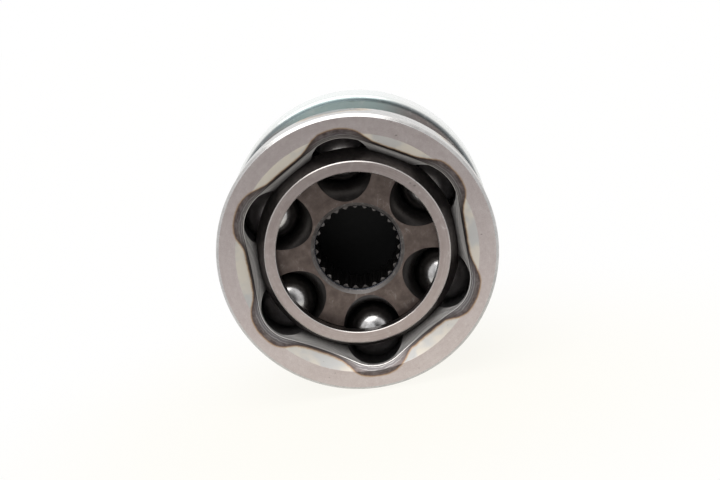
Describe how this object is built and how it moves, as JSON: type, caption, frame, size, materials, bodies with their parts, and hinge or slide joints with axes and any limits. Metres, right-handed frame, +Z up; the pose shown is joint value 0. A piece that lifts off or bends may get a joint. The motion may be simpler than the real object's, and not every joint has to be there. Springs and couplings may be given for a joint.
{
  "type": "fixed ball constant-velocity joint",
  "caption": "Outboard ball-type constant-velocity joint: bell with ball tracks and splined, threaded stub, cage, inner race with shaft spline, and dust shield.",
  "frame": {"origin": "centre of articulation, where the joint's axis meets the plane of the ball centres", "axes": "+Y along the joint's axis towards the threaded stub, open mouth towards -Y, +Z up through the centre of ball_1"},
  "size_m": [0.086, 0.1394, 0.086],
  "materials": {
    "machined_steel": "turned and forged steel, heat-tinted at the mouth",
    "zinc_plate": "bright zinc plate with a faint blue-green cast",
    "ground_steel": "ground steel",
    "dark_steel": "case-hardened steel, dark and slightly mottled",
    "spring_steel": "blued spring wire",
    "bearing_steel": "polished"
  },
  "bodies": {
    "outer_race": {"outer_race": "machined_steel", "dust_shield": "zinc_plate"},
    "cage": {"cage": "ground_steel"},
    "inner_race": {"inner_race": "dark_steel", "shaft_snap_ring": "spring_steel"},
    "ball_1": {"ball_1": "bearing_steel"},
    "ball_2": {"ball_2": "bearing_steel"},
    "ball_3": {"ball_3": "bearing_steel"},
    "ball_4": {"ball_4": "bearing_steel"},
    "ball_5": {"ball_5": "bearing_steel"},
    "ball_6": {"ball_6": "bearing_steel"}
  },
  "joints": [
    {"name": "inner_race_tilt", "type": "hinge", "parent": "outer_race", "child": "inner_race", "pos_m": [0, 0, 0], "axis": [1, 0, 0], "range_deg": [-45, 45]},
    {"name": "cage_tilt", "type": "hinge", "parent": "outer_race", "child": "cage", "pos_m": [0, 0, 0], "axis": [1, 0, 0], "range_deg": [-22.5, 22.5]},
    {"name": "ball_1_shift", "type": "slide", "parent": "cage", "child": "ball_1", "axis": [0, 0, 1], "range_m": [-0.00115, 0.00115]},
    {"name": "ball_2_roll", "type": "hinge", "parent": "outer_race", "child": "ball_2", "pos_m": [0, -0.003, 0], "axis": [0.5, 0, -0.866], "range_deg": [-11.65, 11.65]},
    {"name": "ball_3_roll", "type": "hinge", "parent": "outer_race", "child": "ball_3", "pos_m": [0, -0.003, 0], "axis": [-0.5, 0, -0.866], "range_deg": [-11.65, 11.65]},
    {"name": "ball_4_shift", "type": "slide", "parent": "cage", "child": "ball_4", "axis": [0, 0, -1], "range_m": [-0.00115, 0.00115]},
    {"name": "ball_5_roll", "type": "hinge", "parent": "outer_race", "child": "ball_5", "pos_m": [0, -0.003, 0], "axis": [-0.5, 0, 0.866], "range_deg": [-11.65, 11.65]},
    {"name": "ball_6_roll", "type": "hinge", "parent": "outer_race", "child": "ball_6", "pos_m": [0, -0.003, 0], "axis": [0.5, 0, 0.866], "range_deg": [-11.65, 11.65]}
  ],
  "couplings": [
    {"joint": "cage_tilt", "follows": "inner_race_tilt", "ratio": 0.5},
    {"joint": "ball_1_shift", "follows": "inner_race_tilt", "m_per_rad": 0.0014625},
    {"joint": "ball_2_roll", "follows": "inner_race_tilt", "ratio": 0.2587},
    {"joint": "ball_3_roll", "follows": "inner_race_tilt", "ratio": -0.2587},
    {"joint": "ball_4_shift", "follows": "inner_race_tilt", "m_per_rad": -0.0014625},
    {"joint": "ball_5_roll", "follows": "inner_race_tilt", "ratio": -0.2587},
    {"joint": "ball_6_roll", "follows": "inner_race_tilt", "ratio": 0.2587}
  ]
}
